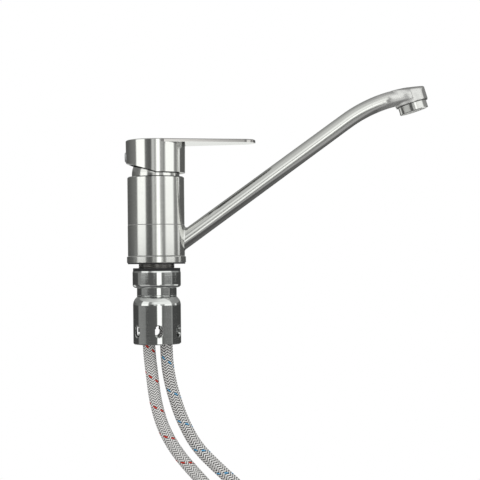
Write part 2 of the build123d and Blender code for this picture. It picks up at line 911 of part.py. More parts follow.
def aerator_insert():
    """The jet straightener: a plug pierced by rings of straight holes."""
    solid = upright(aerator_bore - running_clearance, insert_bottom, insert_top)
    places = [(0, 0)]
    for turn in (1, 2):
        count = insert_ring_holes * turn
        for i in range(count):
            angle = math.tau * i / count
            reach = turn * insert_hole_pitch
            places.append((reach * math.cos(angle), reach * math.sin(angle)))
    holes = [upright(insert_hole_radius, insert_bottom, insert_top, x, y) for x, y in places]
    return at_outlet(solid - holes)


def aerator_screen():
    return at_outlet(upright(aerator_bore - running_clearance, insert_top, insert_top + screen_height))


# Tails and braided hoses
def hose_tail(x):
    """A rigid tail: nose with its seal, thread, collar with two flats, and a long stem to the ferrule."""
    thread_top = shank_top + tail_thread_depth - loose_clearance
    collar_low = shank_top - tail_collar_height
    thread = upright(tail_thread_radius - thread_clearance, shank_top, thread_top, x)
    flats = Rectangle(4 * tail_collar_radius, 2 * (tail_collar_radius - tail_flat_depth))
    flats = Pos(x, 0, collar_low) * extrude(flats, tail_collar_height)
    collar = upright(tail_collar_radius, collar_low, shank_top, x) & flats
    nose = upright(tail_nose_radius, thread_top, thread_top + tail_nose_height, x)
    groove_low = thread_top + tail_nose_height / 2 - tail_seal_section - running_clearance
    groove_high = groove_low + 2 * tail_seal_section + 2 * running_clearance
    groove = upright(tail_thread_radius, groove_low, groove_high, x)
    groove = groove - upright(tail_nose_radius - 2 * tail_seal_section, groove_low, groove_high, x)
    stem = upright(tail_stem_radius, ferrule_top, collar_low, x)
    return thread + collar + (nose - groove) + stem


def tail_seals():
    height = shank_top + tail_thread_depth - loose_clearance + tail_nose_height / 2
    floor = tail_nose_radius - 2 * tail_seal_section
    return Compound(children=[round_seal(floor, height, x, 0, tail_seal_section) for x in port_places])


def crimped_sleeve(low, high, x, y):
    """A pressed ferrule with evenly spaced crimp grooves."""
    step = (high - low) / (crimp_count + 1)
    floor = ferrule_radius - crimp_depth
    beyond = ferrule_radius + crimp_depth
    grooves = []
    for i in range(crimp_count):
        groove_low = low + step * (i + 1) - crimp_width / 2
        groove_high = groove_low + crimp_width
        band = upright(beyond, groove_low, groove_high, x, y)
        grooves.append(band - upright(floor, groove_low, groove_high, x, y))
    return upright(ferrule_radius, low, high, x, y) - grooves


def placed_route(route, x):
    return [(x + along, across, hose_top + down) for along, across, down in route]


def route_radii(route):
    """The arc at each inner point: 0.45 of the shorter run over the tangent of half the turn."""
    points = [Vector(*point) for point in route]
    radii = []
    for before, here, after in zip(points, points[1:], points[2:]):
        run_in = here - before
        run_out = after - here
        turn = run_in.get_angle(run_out)
        shorter = min(run_in.length, run_out.length)
        radii.append(0.45 * shorter / math.tan(math.radians(turn / 2)))
    return radii


def hose(name, route):
    radii = route_radii(route)
    path = FilletPolyline(*route, radius=radii)
    solid = sweep(Plane(origin=route[0], z_dir=(0, 0, -1)) * Circle(hose_radius), path)
    expected = math.pi * hose_radius**2 * path.length
    print(name, "length", round(path.length, 2), "radii", [round(radius) for radius in radii])
    print(name, "tube volume over section times length", round(solid.volume / expected, 5))
    return solid


def end_fitting(x, y, hose_end):
    """The pieces on a hose's free end, stacked downwards: ferrule, nipple, washer and union nut."""
    ferrule_end = hose_end - end_ferrule_length
    nut_high = ferrule_end - nipple_neck
    shelf = nut_high - union_shelf
    collar_low = nut_high - union_collar_height
    flange_high = shelf - running_clearance
    flange_low = flange_high - nipple_flange_height
    washer_low = flange_low - hose_washer_height
    nut_low = washer_low - union_thread_depth
    nipple_radius = hose_radius - nipple_step
    bore = nipple_radius - nipple_wall
    inner = union_thread_radius - seat_clearance
    nipple = upright(nipple_radius, flange_high, ferrule_end, x, y)
    nipple = nipple + upright(inner, flange_low, flange_high, x, y)
    nipple = nipple - upright(bore, flange_low, ferrule_end, x, y)
    washer = upright(inner, washer_low, flange_low, x, y) - upright(bore, washer_low, flange_low, x, y)
    nut = upright(union_thread_radius + union_collar_step, collar_low, nut_high, x, y)
    nut = nut + hexagon(2 * (union_thread_radius + union_wall), nut_low, collar_low, x, y)
    nut = nut - upright(union_thread_radius, nut_low, washer_low, x, y)
    nut = nut - upright(union_thread_radius + union_relief_step, washer_low, shelf, x, y)
    nut = nut - upright(nipple_radius + seat_clearance, shelf, nut_high, x, y)
    print("union nut from", round(nut_high, 2), "to", round(nut_low, 2), "at", round(x, 2), round(y, 2))
    return {
        "end_ferrule": crimped_sleeve(ferrule_end, hose_end, x, y),
        "nipple": nipple,
        "washer": washer,
        "union_nut": nut,
    }


save("base_gasket", base_gasket())
save("base_ring", base_ring())
save("lower_slip_ring", slip_ring(base_ring_top))
save("upper_slip_ring", slip_ring(sleeve_top + running_clearance))
save("main_body", main_body())
save("spout_seals", spout_seals())
save("threaded_shank", threaded_shank())
save("under_deck_gasket", under_deck_gasket())
save("clamp_cup", clamp_cup())
save("barrel_nut", barrel_nut())
save("cartridge_base", cartridge_base())
save("cartridge_seals", cartridge_seals())
save("cartridge_housing", cartridge_housing())
save("fixed_ceramic_disc", fixed_ceramic_disc())
save("moving_ceramic_disc", moving_ceramic_disc())
save("disc_carrier", disc_carrier())
save("spindle_carrier", spindle_carrier())
save("stem_pin", stem_pin())
save("cartridge_stem", cartridge_stem())
save("retaining_nut", retaining_nut())
save("dome_cap", dome_cap())
save("lever_handle", lever_handle())
save("grub_screw", grub_screw())
save("indicator_plug", indicator_plug())
save("spout_sleeve", spout_sleeve())
save("spout_tube", spout_tube())
save("outlet_boss", outlet_boss())
save("aerator_housing", aerator_housing())
save("aerator_washer", aerator_washer())
save("aerator_insert", aerator_insert())
save("aerator_screen", aerator_screen())
save("tail_seals", tail_seals())

for side, x, offsets in (("hot", port_places[0], hot_route), ("cold", port_places[1], cold_route)):
    route = placed_route(offsets, x)
    save(f"{side}_hose_tail", hose_tail(x))
    save(f"{side}_hose_ferrule", crimped_sleeve(hose_top, ferrule_top, x, 0))
    save(f"{side}_hose", hose(f"{side}_hose", route))
    for piece, solid in end_fitting(*route[-1]).items():
        save(f"{side}_hose_{piece}", solid)
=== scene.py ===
import bpy
import math
import numpy as np
from mathutils import Matrix, Vector


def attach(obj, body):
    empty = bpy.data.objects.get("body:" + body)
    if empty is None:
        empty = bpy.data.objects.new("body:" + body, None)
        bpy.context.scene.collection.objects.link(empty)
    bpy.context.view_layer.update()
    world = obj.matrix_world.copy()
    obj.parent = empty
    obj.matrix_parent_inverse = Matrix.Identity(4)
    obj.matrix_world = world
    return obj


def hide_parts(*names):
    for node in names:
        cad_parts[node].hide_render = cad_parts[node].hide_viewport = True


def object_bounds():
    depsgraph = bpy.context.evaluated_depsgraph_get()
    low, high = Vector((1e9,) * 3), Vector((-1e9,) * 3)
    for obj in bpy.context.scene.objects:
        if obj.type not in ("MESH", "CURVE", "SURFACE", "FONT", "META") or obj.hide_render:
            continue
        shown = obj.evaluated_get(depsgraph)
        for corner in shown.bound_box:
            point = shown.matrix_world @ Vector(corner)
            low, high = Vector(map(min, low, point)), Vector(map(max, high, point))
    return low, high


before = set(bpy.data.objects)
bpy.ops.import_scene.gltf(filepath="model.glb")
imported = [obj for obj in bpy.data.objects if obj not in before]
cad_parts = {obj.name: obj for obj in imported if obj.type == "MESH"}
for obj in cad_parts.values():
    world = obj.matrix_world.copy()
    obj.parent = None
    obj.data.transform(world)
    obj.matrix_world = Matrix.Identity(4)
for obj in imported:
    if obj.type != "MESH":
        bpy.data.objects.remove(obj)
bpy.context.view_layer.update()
print("frame loaded:", len(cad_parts), "pieces")

# camera level with the foot of the body and a little rolled
cameraView = {
    "place": (0.0743, -1.08, 0.0),
    "roll": 0.01,
    "widthAtTap": 0.4277,   # how much of the tap's own plane the picture takes in
    "shiftUp": 0.0483,
    "sensor": 36.0,
}
cameraData = bpy.data.cameras.new("camera")
cameraData.sensor_width = cameraView["sensor"]
cameraData.lens = cameraView["sensor"] * -cameraView["place"][1] / cameraView["widthAtTap"]
cameraData.shift_y = cameraView["shiftUp"]
camera = bpy.data.objects.new("camera", cameraData)
camera.location = cameraView["place"]
camera.rotation_euler = (math.pi / 2, cameraView["roll"], 0)
bpy.context.collection.objects.link(camera)
bpy.context.scene.camera = camera


# small helpers
def addObject(name, data, body):
    piece = bpy.data.objects.new(name, data)
    bpy.context.collection.objects.link(piece)
    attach(piece, body)
    return piece


def newMaterial(name):
    material = bpy.data.materials.new(name)
    material.use_nodes = True
    return material, material.node_tree, material.node_tree.nodes["Principled BSDF"]


def addNode(tree, kind, inputs=None, **settings):
    node = tree.nodes.new(kind)
    for key, value in settings.items():
        setattr(node, key, value)
    for key, value in (inputs or {}).items():
        if isinstance(value, bpy.types.NodeSocket):
            tree.links.new(value, node.inputs[key])
        else:
            node.inputs[key].default_value = value
    return node


def setSockets(shader, **values):
    for name, value in values.items():
        shader.inputs[name.capitalize()].default_value = value


# one sum of two numbers or sockets
def reckon(tree, operation, first, second=0.0):
    return addNode(tree, "ShaderNodeMath", {0: first, 1: second}, operation=operation).outputs[0]


# the surface's own facing ("Normal") or place in metres ("Object"), split into X, Y and Z
def ownAxes(tree, kind):
    place = addNode(tree, "ShaderNodeTexCoord")
    return addNode(tree, "ShaderNodeSeparateXYZ", {"Vector": place.outputs[kind]}).outputs


def stretchedNoise(tree, scale, turn=(0, 0, 0), detail=3.0, rough=0.6):
    place = addNode(tree, "ShaderNodeTexCoord").outputs["Object"]
    mapping = addNode(tree, "ShaderNodeMapping", {"Vector": place, "Rotation": turn, "Scale": scale})
    return addNode(tree, "ShaderNodeTexNoise", {"Vector": mapping.outputs["Vector"], "Scale": 1.0,
                                                "Detail": detail, "Roughness": rough}).outputs["Fac"]


def spread(tree, value, low, high, fromLow=0.3, fromHigh=0.7):
    limits = {"From Min": fromLow, "From Max": fromHigh, "To Min": low, "To Max": high}
    return addNode(tree, "ShaderNodeMapRange", {"Value": value, **limits}).outputs["Result"]


# none at the start and all at the full place, which may lie on either side of it
def fadeIn(tree, value, start, full):
    return spread(tree, value, 0.0, 1.0, start, full)


def twoTones(tree, value, darkTone, lightTone, low=0.3, high=0.7):
    ramp = addNode(tree, "ShaderNodeValToRGB", {"Fac": value})
    for stop, place, tone in zip(ramp.color_ramp.elements, (low, high), (darkTone, lightTone)):
        stop.position = place
        stop.color = (*tone, 1)
    return ramp.outputs["Color"]


mixPlugs = {"share": 0, "first": 6, "second": 7, "result": 2}   # the colour mix node's sockets


# a tone is a socket, a colour or a plain grey level
def mixTones(tree, share, first, second, blend="MIX"):
    inputs = {mixPlugs["share"]: share}
    for plug, tone in (("first", first), ("second", second)):
        if isinstance(tone, (int, float)):
            tone = (tone, tone, tone)
        inputs[mixPlugs[plug]] = tone if isinstance(tone, bpy.types.NodeSocket) else (*tone, 1)
    mix = addNode(tree, "ShaderNodeMix", inputs, data_type="RGBA", blend_type=blend)
    return mix.outputs[mixPlugs["result"]]


def bump(tree, shader, height, distance, strength=1.0):
    node = addNode(tree, "ShaderNodeBump", {"Height": height, "Distance": distance, "Strength": strength})
    tree.links.new(node.outputs["Normal"], shader.inputs["Normal"])


# painted shade where a surface faces down, up to a place along the lever
def paintedShadeBelow(tree, color, undersideShade):
    under = fadeIn(tree, ownAxes(tree, "Normal")["Z"], *undersideShade["facing"])
    near = fadeIn(tree, ownAxes(tree, "Object")["X"], undersideShade["upTo"] + undersideShade["fade"], undersideShade["upTo"])
    return mixTones(tree, reckon(tree, "MULTIPLY", under, near), color, undersideShade["tone"])


# painted shade in a strip where a surface faces sideways, from a place along the lever on and above a height
def paintedSideShade(tree, color, sideShade):
    share = fadeIn(tree, reckon(tree, "ABSOLUTE", ownAxes(tree, "Normal")["Y"]), *sideShade["facing"])
    where = ownAxes(tree, "Object")
    for axis, limit in (("X", sideShade["from"]), ("Z", sideShade["above"])):
        share = reckon(tree, "MULTIPLY", share, fadeIn(tree, where[axis], limit, limit + sideShade["fade"]))
    return mixTones(tree, share, color, sideShade["tone"])


# painted shade on facets, each from one way of facing to another, standing in for darker reflections and
# fading in along the spout
def shadedFacets(tree, color, facets):
    facing = ownAxes(tree, "Normal")
    reached = fadeIn(tree, ownAxes(tree, "Object")["X"], *facets["fade"])
    for axis, start, full, tone in facets["sides"]:
        share = reckon(tree, "MULTIPLY", fadeIn(tree, facing[axis], start, full), reached)
        color = mixTones(tree, share, color, tone, "MULTIPLY")
    return color


# painted shadow as a dark line in the gap above a slanting seam, from the seam's middle in metres and its
# lean
def paintedGapShadow(tree, color, joint):
    lean = math.radians(joint["lean"])
    place = addNode(tree, "ShaderNodeTexCoord").outputs["Object"]
    fromMiddle = addNode(tree, "ShaderNodeVectorMath", {0: place, 1: joint["middle"]}, operation="SUBTRACT")
    across = (-math.sin(lean), 0, math.cos(lean))
    height = addNode(tree, "ShaderNodeVectorMath", {0: fromMiddle.outputs["Vector"], 1: across},
                     operation="DOT_PRODUCT").outputs["Value"]
    share = fadeIn(tree, height, joint["tall"], joint["tall"] - joint["fade"])
    return mixTones(tree, share, color, joint["tone"])


# finishes
extraShades = {"undersideShade": paintedShadeBelow, "sideShade": paintedSideShade, "facets": shadedFacets, "joint": paintedGapShadow}
steelWear = {"size": (22, 22, 22), "worn": (0.95, 0.95, 0.95), "fresh": (1, 1, 1)}   # broad faint clouds


# look holds the grain's scale along each axis per metre, its turn, two tones, the roughness and the depth
def hairlineSteel(name, look):
    material, tree, shader = newMaterial(name)
    setSockets(shader, metallic=1.0)
    hair = stretchedNoise(tree, look["grain"], look.get("turn", (0, 0, 0)), 4.0, 0.65)
    cloud = stretchedNoise(tree, steelWear["size"], detail=2.0)
    tone = twoTones(tree, hair, look["dark"], look["light"])
    wear = twoTones(tree, cloud, steelWear["worn"], steelWear["fresh"])
    color = mixTones(tree, 1.0, tone, wear, "MULTIPLY")
    for extra, shade in extraShades.items():
        if extra in look:
            color = shade(tree, color, look[extra])
    tree.links.new(color, shader.inputs["Base Color"])
    rough = spread(tree, hair, *look["rough"])
    if "duller" in look:
        duller = look["duller"]
        along = ownAxes(tree, "Object")["X"]
        rough = reckon(tree, "ADD", rough, spread(tree, along, 0.0, duller["rougher"], *duller["fade"]))
        metallic = spread(tree, along, 1.0, duller["metallic"], *duller["fade"])
        tree.links.new(metallic, shader.inputs["Metallic"])
    tree.links.new(rough, shader.inputs["Roughness"])
    bump(tree, shader, hair, look["depth"], 0.5)
    return material


satinTurned = {"grain": (60, 60, 5200), "light": (0.84, 0.84, 0.82), "dark": (0.74, 0.74, 0.72),
               "rough": (0.1, 0.17), "depth": 0.000003}
satinAlong = {"grain": (60, 4200, 4200), "turn": (0, math.radians(35.7), 0), "light": (0.84, 0.84, 0.82),
              "dark": (0.75, 0.75, 0.73), "rough": (0.1, 0.17), "depth": 0.000003}
satinBlade = {"grain": (60, 4800, 4800), "light": (0.84, 0.84, 0.82), "dark": (0.75, 0.75, 0.73),
              "rough": (0.08, 0.13), "depth": 0.000003,
              # painted shade where the blade faces down
              "undersideShade": {"upTo": 0.0262, "fade": 0.0005, "facing": (-0.35, -0.5),
                         "tone": (0.035, 0.035, 0.033)},
              # painted shade on the blade's sides, standing in for a duller reflection
              "sideShade": {"from": 0.006, "above": 0.1064, "fade": 0.0008, "facing": (0.25, 0.4),
                        "tone": (0.5, 0.485, 0.475)}}
polishedTurned = {"grain": (90, 90, 2600), "light": (0.82, 0.83, 0.82), "dark": (0.72, 0.73, 0.72),
                  "rough": (0.04, 0.09), "depth": 0.000002}
plainTurned = {"grain": (300, 300, 1800), "light": (0.62, 0.61, 0.6), "dark": (0.45, 0.44, 0.43),
               "rough": (0.24, 0.38), "depth": 0.00001}


# moulded, cast, fired and plated surfaces, with the same fine grain every way
def evenGrain(name, look):
    material, tree, shader = newMaterial(name)
    setSockets(shader, metallic=look.get("metallic", 0.0))
    grain = stretchedNoise(tree, (look["size"],) * 3, detail=5.0)
    tree.links.new(twoTones(tree, grain, look["dark"], look["light"]), shader.inputs["Base Color"])
    tree.links.new(spread(tree, grain, *look["rough"]), shader.inputs["Roughness"])
    bump(tree, shader, grain, look["depth"], 0.5)
    return material


blackRubber = {"size": 900, "dark": (0.012, 0.012, 0.013), "light": (0.035, 0.035, 0.037),
               "rough": (0.55, 0.8), "depth": 0.00004}
whitePlastic = {"size": 500, "dark": (0.74, 0.75, 0.75), "light": (0.84, 0.84, 0.83),
                "rough": (0.3, 0.42), "depth": 0.00001}
slipPlastic = {"size": 500, "dark": (0.3, 0.3, 0.29), "light": (0.42, 0.42, 0.41),
               "rough": (0.35, 0.5), "depth": 0.00001}
greyPlastic = {"size": 420, "dark": (0.1, 0.11, 0.12), "light": (0.17, 0.18, 0.19),
               "rough": (0.35, 0.5), "depth": 0.00001}
plugSilver = {"size": 700, "dark": (0.42, 0.43, 0.44), "light": (0.54, 0.55, 0.56),
              "rough": (0.3, 0.42), "depth": 0.00001, "metallic": 0.4}
ceramicWhite = {"size": 300, "dark": (0.8, 0.79, 0.76), "light": (0.88, 0.87, 0.85),
                "rough": (0.12, 0.2), "depth": 0.000004}
brassYellow = {"size": 500, "dark": (0.5, 0.36, 0.16), "light": (0.66, 0.5, 0.25),
               "rough": (0.2, 0.34), "depth": 0.00001, "metallic": 1.0}
platedBrass = {"size": 260, "dark": (0.58, 0.58, 0.56), "light": (0.7, 0.7, 0.68),
               "rough": (0.1, 0.2), "depth": 0.000006, "metallic": 0.7}
hoseLining = {"size": 1500, "dark": (0.02, 0.02, 0.021), "light": (0.06, 0.06, 0.06),
              "rough": (0.5, 0.7), "depth": 0.00002}


# wires side by side in each strand, with painted shade between the wires, at the strand's edges and where it
# dips under the crossing strands: the strand's UV holds the place across it and how far over (1) or under (0)
# it lies
def braidFinish(name, look):
    material, tree, shader = newMaterial(name)
    setSockets(shader, metallic=look["metallic"])
    uv = addNode(tree, "ShaderNodeUVMap", uv_map="strand").outputs["UV"]
    parts = addNode(tree, "ShaderNodeSeparateXYZ", {"Vector": uv}).outputs
    wave = reckon(tree, "SINE", reckon(tree, "MULTIPLY", parts["X"], look["wires"] * math.pi))
    height = reckon(tree, "ABSOLUTE", wave)
    fromMiddle = reckon(tree, "ABSOLUTE", reckon(tree, "SUBTRACT", parts["X"], 0.5))
    edge = twoTones(tree, fromMiddle, (1, 1, 1), look["edge"], look["edgeStart"], 0.5)
    dipShade = twoTones(tree, parts["Y"], look["under"], (1, 1, 1), look["underTo"], look["overFrom"])
    color = twoTones(tree, height, look["dark"], look["light"], 0.0, 0.5)
    for shade in (edge, dipShade):
        color = mixTones(tree, 1.0, color, shade, "MULTIPLY")
    tree.links.new(color, shader.inputs["Base Color"])
    grain = stretchedNoise(tree, look["grain"])
    tree.links.new(spread(tree, grain, *look["rough"]), shader.inputs["Roughness"])
    bump(tree, shader, height, look["depth"])
    return material


# painted shade between the wires, at the strands' edges and under the crossings
steelWires = {"wires": 5, "dark": (0.6, 0.6, 0.59), "light": (0.98, 0.97, 0.95), "edge": (0.05, 0.05, 0.05),
              "edgeStart": 0.34, "under": (0.05, 0.05, 0.048), "underTo": 0.35, "overFrom": 0.6,
              "grain": (1800, 1800, 1800), "rough": (0.3, 0.45), "depth": 0.00003, "metallic": 0.15}
# the tracer yarn gets the same painted shade at its edges and under the crossings
yarn = {"wires": 4, "edge": (0.25, 0.25, 0.25), "edgeStart": 0.4, "underTo": 0.3, "overFrom": 0.5,
        "grain": (1800, 1800, 1800), "rough": (0.4, 0.55), "depth": 0.00003, "metallic": 0.0}
redYarn = {**yarn, "dark": (0.4, 0.01, 0.008), "light": (0.75, 0.04, 0.02), "under": (0.12, 0.1, 0.1)}
blueYarn = {**yarn, "dark": (0.05, 0.22, 0.45), "light": (0.15, 0.5, 0.82), "under": (0.1, 0.1, 0.12)}

finishes = {
    "satin": hairlineSteel("satin steel, turned", satinTurned),
    "satinAlong": hairlineSteel("satin steel, spout", satinAlong),
    "satinBlade": hairlineSteel("satin steel, lever", satinBlade),
    "polished": hairlineSteel("polished steel", polishedTurned),
    "plain": hairlineSteel("plain steel", plainTurned),
    "rubber": evenGrain("black rubber", blackRubber),
    "white": evenGrain("white plastic", whitePlastic),
    "slip": evenGrain("slip ring plastic", slipPlastic),
    "grey": evenGrain("cartridge plastic", greyPlastic),
    "plug": evenGrain("indicator silver", plugSilver),
    "ceramic": evenGrain("ceramic", ceramicWhite),
    "brass": evenGrain("brass", brassYellow),
    "plated": evenGrain("plated brass", platedBrass),
    "lining": evenGrain("hose lining", hoseLining),
    "wires": braidFinish("steel braid", steelWires),
    "redYarn": braidFinish("red tracer", redYarn),
    "blueYarn": braidFinish("blue tracer", blueYarn),
}
print("finishes made:", len(finishes))

# the two braided hoses, with the part's own route points in metres from the ferrule's lower end
hoses = {
    "hot": {
        "exit": (-0.00775, 0.0, -0.058),
        "route": [(0, 0, 0), (0, 0, -0.017), (0.00265, -0.0006, -0.0395), (0.00545, -0.0016, -0.064),
                  (0.01225, -0.002, -0.0885), (0.02495, -0.001, -0.111), (0.04305, 0.0008, -0.1323),
                  (0.06175, 0.0026, -0.153), (0.07725, 0.0034, -0.177), (0.0882, 0.0026, -0.201),
                  (0.0949, 0.0008, -0.226), (0.0974, 0, -0.249), (0.0974, 0, -0.2683)],
        "tracer": "redYarn",
        "slot": "red_traced_braid",
        "pitch": 0.0272,
        "tracerTurn": 149,   # where the coloured strand starts round the hose, in degrees from the front
        "columnTurn": -14,   # where the strands of its way lie on top
    },
    "cold": {
        "exit": (0.00775, 0.0, -0.058),
        "route": [(0, 0, 0), (0, 0, -0.017), (0.00165, 0.0005, -0.04), (0.00745, 0.0016, -0.0635),
                  (0.01485, 0.003, -0.0845), (0.02645, 0.0038, -0.1062), (0.04625, 0.0034, -0.126),
                  (0.06725, 0.0022, -0.145), (0.08625, 0.0006, -0.165), (0.1009, -0.0006, -0.188),
                  (0.1106, -0.0008, -0.212), (0.1152, 0, -0.236), (0.1152, 0, -0.2582)],
        "tracer": "blueYarn",
        "slot": "blue_traced_braid",
        "pitch": 0.0289,
        "tracerTurn": 17,
        "columnTurn": -33,
    },
}
hoseBuild = {
    "length": 0.2945,
    "diameter": 0.011,
    "curveSteps": 24,
    "coreRadius": 0.00498,
    "coreSides": 24,
    "coreEvery": 4,           # one ring of the core to so many points of the strands
    "braidRadius": 0.0053,    # middle of the strands
    "weave": 0.0002,          # how far a strand rises over and dips under
    "weaveFlat": 1.8,         # how long it stays up or down
    "strandWidth": 0.00135,
    "strandThick": 0.00034,
    "carriers": 12,           # strands each way
    "spacing": 0.00062,       # between the points along a strand
}
# a flat lens, as shares of the strand's width across it and of its thickness outwards
strandSection = [(-0.5, -0.1), (-0.32, 0.34), (0.0, 0.5), (0.32, 0.34), (0.5, -0.1), (0.25, -0.5),
                 (-0.25, -0.5)]


def routeCurve(name, exitPoint, route, steps):
    curve = bpy.data.curves.new(name, "CURVE")
    curve.dimensions = "3D"
    curve.resolution_u = steps
    spline = curve.splines.new("NURBS")
    spline.points.add(len(route) - 1)
    for point, step in zip(spline.points, route):
        point.co = (*(Vector(exitPoint) + Vector(step)), 1)
    spline.order_u = 3
    spline.use_endpoint_u = True
    return curve


# points read from the bare spline, evenly spaced, each with a frame that doesn't twist
def pointsAlong(exitPoint, route, build):
    bare = bpy.data.objects.new("bareRoute", routeCurve("bareRoute", exitPoint, route, build["curveSteps"]))
    mesh = bpy.data.meshes.new_from_object(bare)
    line = [v.co.copy() for v in mesh.vertices]
    bpy.data.meshes.remove(mesh)
    bpy.data.objects.remove(bare)
    reach = [0.0]
    for before, here in zip(line, line[1:]):
        reach.append(reach[-1] + (here - before).length)
    count = max(2, round(reach[-1] / build["spacing"]))
    points, i = [], 0
    for step in range(count + 1):
        wanted = reach[-1] * step / count
        while i < len(line) - 2 and reach[i + 1] < wanted:
            i += 1
        share = (wanted - reach[i]) / max(reach[i + 1] - reach[i], 1e-9)
        points.append(line[i].lerp(line[i + 1], min(1.0, share)))
    side = Vector((0, -1, 0))
    frames = []
    for i, here in enumerate(points):
        along = (points[min(i + 1, count)] - points[max(i - 1, 0)]).normalized()
        side = (side - along * side.dot(along)).normalized()
        frames.append((here, side, side.cross(along)))
    return frames, reach[-1]


# the black lining under the braid, a round tube with flat ends
def hoseCore(name, frames, build):
    sides, every = build["coreSides"], build["coreEvery"]
    vertices, faces = [], []
    for here, side, across in frames[:-1:every] + frames[-1:]:
        for j in range(sides):
            turn = math.tau * j / sides
            vertices.append(here + (side * math.cos(turn) + across * math.sin(turn)) * build["coreRadius"])
    rings = len(vertices) // sides
    for i in range(rings - 1):
        for j in range(sides):
            k = (j + 1) % sides
            faces.append((i * sides + j, (i + 1) * sides + j, (i + 1) * sides + k, i * sides + k))
    faces.append(tuple(range(sides)))
    faces.append(tuple(reversed(range((rings - 1) * sides, rings * sides))))
    mesh = bpy.data.meshes.new(name)
    mesh.from_pydata([tuple(v) for v in vertices], [], faces)
    mesh.shade_smooth()
    return mesh


# strands is a list of (way, start in degrees); way -1 runs to the right as it goes down the front
def braidStrands(name, frames, length, build, facts, strands):
    section = [(across * build["strandWidth"], out * build["strandThick"]) for across, out in strandSection]
    ring = len(section)
    perTurn = 360 / facts["pitch"]
    columnTurn = math.radians(facts["columnTurn"])
    vertices, faces, uvs = [], [], []
    for way, start in strands:
        base, over = len(vertices), []
        for i, (here, side, across) in enumerate(frames):
            reach = length * i / (len(frames) - 1)
            turn = math.radians(start - way * perTurn * reach)
            # over or under goes by the place round the hose, which gives the herringbone columns
            wave = build["weaveFlat"] * math.cos(build["carriers"] / 2 * (turn - columnTurn))
            lift = way * max(-1.0, min(1.0, wave))
            radius = build["braidRadius"] - lift * build["weave"]
            over.append(0.5 - 0.5 * lift)
            outward = side * math.cos(turn) + across * math.sin(turn)
            sideways = across * math.cos(turn) - side * math.sin(turn)
            forward = across.cross(side)
            lay = math.atan(way * math.radians(perTurn) * radius)
            width = sideways * math.cos(lay) + forward * math.sin(lay)
            for offset, height in section:
                drop = offset * offset / (2 * radius)   # the strand bends round the hose
                vertices.append(here + outward * (radius + height - drop) + width * offset)
        for i in range(len(frames) - 1):
            for j in range(ring):
                k = (j + 1) % ring
                a, b = base + i * ring, base + (i + 1) * ring
                faces.append((a + j, b + j, b + k, a + k))
                u0, u1 = strandSection[j][0] + 0.5, strandSection[k][0] + 0.5
                uvs.append([(u0, over[i]), (u0, over[i + 1]), (u1, over[i + 1]), (u1, over[i])])
    mesh = bpy.data.meshes.new(name)
    mesh.from_pydata([tuple(v) for v in vertices], [], faces)
    layer = mesh.uv_layers.new(name="strand")
    layer.data.foreach_set("uv", [c for face in uvs for corner in face for c in corner])
    mesh.shade_smooth()
    return mesh


for side, facts in hoses.items():
    frames, along = pointsAlong(facts["exit"], facts["route"], hoseBuild)
    core = addObject(f"{side}_hose_core", hoseCore(f"{side}_hose_core", frames, hoseBuild), "mixer")
    core.data.materials.append(finishes["lining"])
    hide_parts(f"{side}_hose")
    first, carriers = facts["tracerTurn"], hoseBuild["carriers"]
    turnStep = 360 / carriers
    plainStrands = [(-1, first + turnStep * i) for i in range(1, carriers)]
    plainStrands += [(1, first + turnStep * (i + 0.5)) for i in range(carriers)]
    parts = [("braid", plainStrands, "wires"), ("tracer", [(-1, first)], facts["tracer"])]
    for part, strands, finish in parts:
        name = f"{side}_hose_{part}"
        piece = addObject(name, braidStrands(name, frames, along, hoseBuild, facts, strands), "mixer")
        piece.data.materials.append(finishes[finish])
    print(side, "hose laid:", round(along * 1000, 1), "mm along the spline")

# the outlet's outside: a drum under a crowned roof that carries on the spout's own top line, blended into a
# flare. Millimetres in the drum's own frame, along the spout, sideways and up from the joint over the aerator
outlet = {
    "seam": (229.0, 140.1),        # middle of that joint
    "lean": 17.0,
    "bendCentre": (243.2427, 24.0138),
    "bendRadius": 125.0,
    "drumRadius": 14.65,
    "spoutRadius": 7.19,
    "flareFrom": 205.0,
    "flareTo": 225.0,
    "topHeight": 7.02,             # the blend adds the rest
    "topReached": 3,               # in the flare's first third
    "underPower": 4.0,             # how square the flare's lower half ends up
    "roofWidth": 17.2,
    "roofEdge": 1.1,               # rounding at the tip
    "sideEdge": 4.5,               # and more of it toward the sides
    "crease": 0.7,
    "start": -35.2,                # hidden in the spout
    "jointTall": 0.7,              # the shadow gap over the aerator
    "jointDepth": 0.3,
    "boreRadius": 12.1,
    "boreDepth": 8.0,
}
# the net that its surface is caught in
outletNet = {
    "step": 0.45,
    "height": 18.5,
    "rounds": 6,          # how often its points are drawn onto the surface
    "nudge": 0.02,        # for measuring the slope there
    "leastSlope": 0.2,
}
millimetre = 0.001
# the spout's own finish, but coarser toward the tip, with painted shade where it faces up, down and away, and
# with a painted shadow line in the joint's gap
satinOutlet = {
    **satinAlong,
    "duller": {"fade": (0.196, 0.214), "rougher": 0.13, "metallic": 0.5},
    # painted shade where the outlet faces up, down and toward the tip
    "facets": {"fade": (0.198, 0.216),
               "sides": [("Z", 0.42, 0.66, 0.42), ("Z", -0.2, -0.55, 0.55), ("X", 0.54, 0.62, 0.45)]},
    # painted shadow in the gap over the aerator
    "joint": {"middle": (outlet["seam"][0] * millimetre, 0, outlet["seam"][1] * millimetre),
              "lean": outlet["lean"], "tall": outlet["jointTall"] * millimetre, "fade": 0.0002,
              "tone": (0.07, 0.07, 0.068)},
}
finishes["satinOutlet"] = hairlineSteel("satin steel, outlet", satinOutlet)


def smoothLess(a, b, reach):
    blend = np.maximum(reach - np.abs(a - b), 0.0) / reach
    return np.minimum(a, b) - blend * blend * reach / 4


